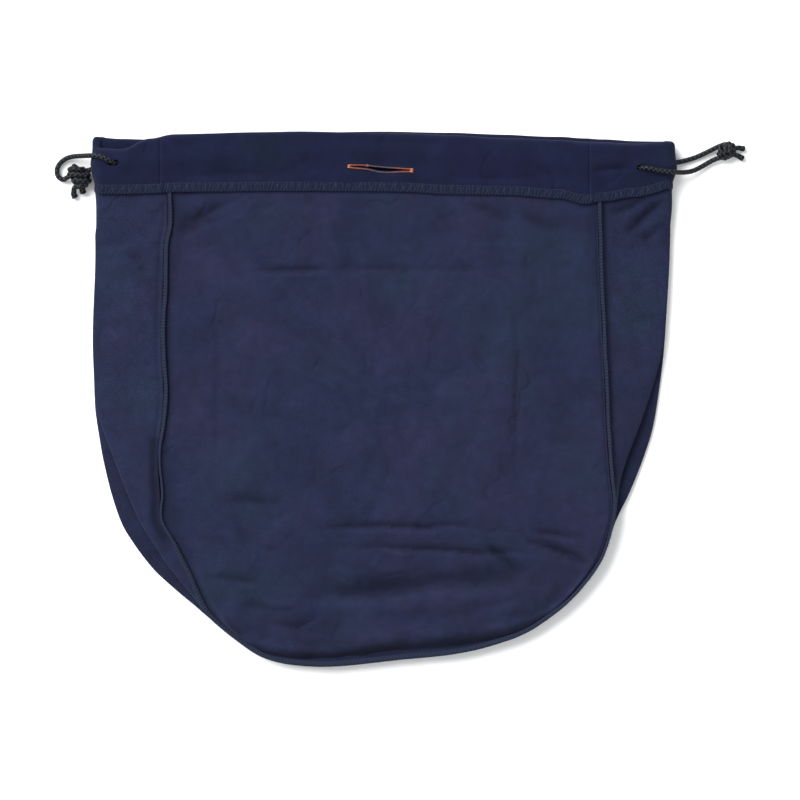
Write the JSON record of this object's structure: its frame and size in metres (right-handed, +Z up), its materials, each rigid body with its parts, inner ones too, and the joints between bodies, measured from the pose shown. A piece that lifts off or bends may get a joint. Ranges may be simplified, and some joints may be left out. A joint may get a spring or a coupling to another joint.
{
  "type": "drawstring motorcycle helmet bag",
  "caption": "Flat-lying cotton drawstring bag for a motorcycle helmet, with a U-shaped front and back, a side gusset, a corded casing and knotted cord ends.",
  "frame": {"origin": "on the surface that the bag lies on, under the middle of the bag without its cords", "axes": "+X across the bag to its right side seen from the front, +Y to the mouth, +Z up out of the front panel"},
  "size_m": [0.5533, 0.4289, 0.0212],
  "materials": {
    "cotton_twill": "navy cotton twill, matt and softly creased",
    "twill_reverse": "reverse side of the navy twill, smoother and darker",
    "overlock_thread": "navy overlock thread round the seam allowance",
    "braided_cord": "black braided synthetic cord with a slight sheen",
    "orange_thread": "orange sewing thread, slightly glossy"
  },
  "bodies": {
    "root": {"front_panel": "cotton_twill", "back_panel": "cotton_twill", "gusset": "cotton_twill", "front_seam": "overlock_thread", "back_seam": "overlock_thread", "casing": "twill_reverse", "drawcord_front": "braided_cord", "drawcord_back": "braided_cord", "cord_left_front": "braided_cord", "cord_left_back": "braided_cord", "cord_right_front": "braided_cord", "cord_right_back": "braided_cord", "knot_left": "braided_cord", "knot_right": "braided_cord"}
  },
  "joints": []
}
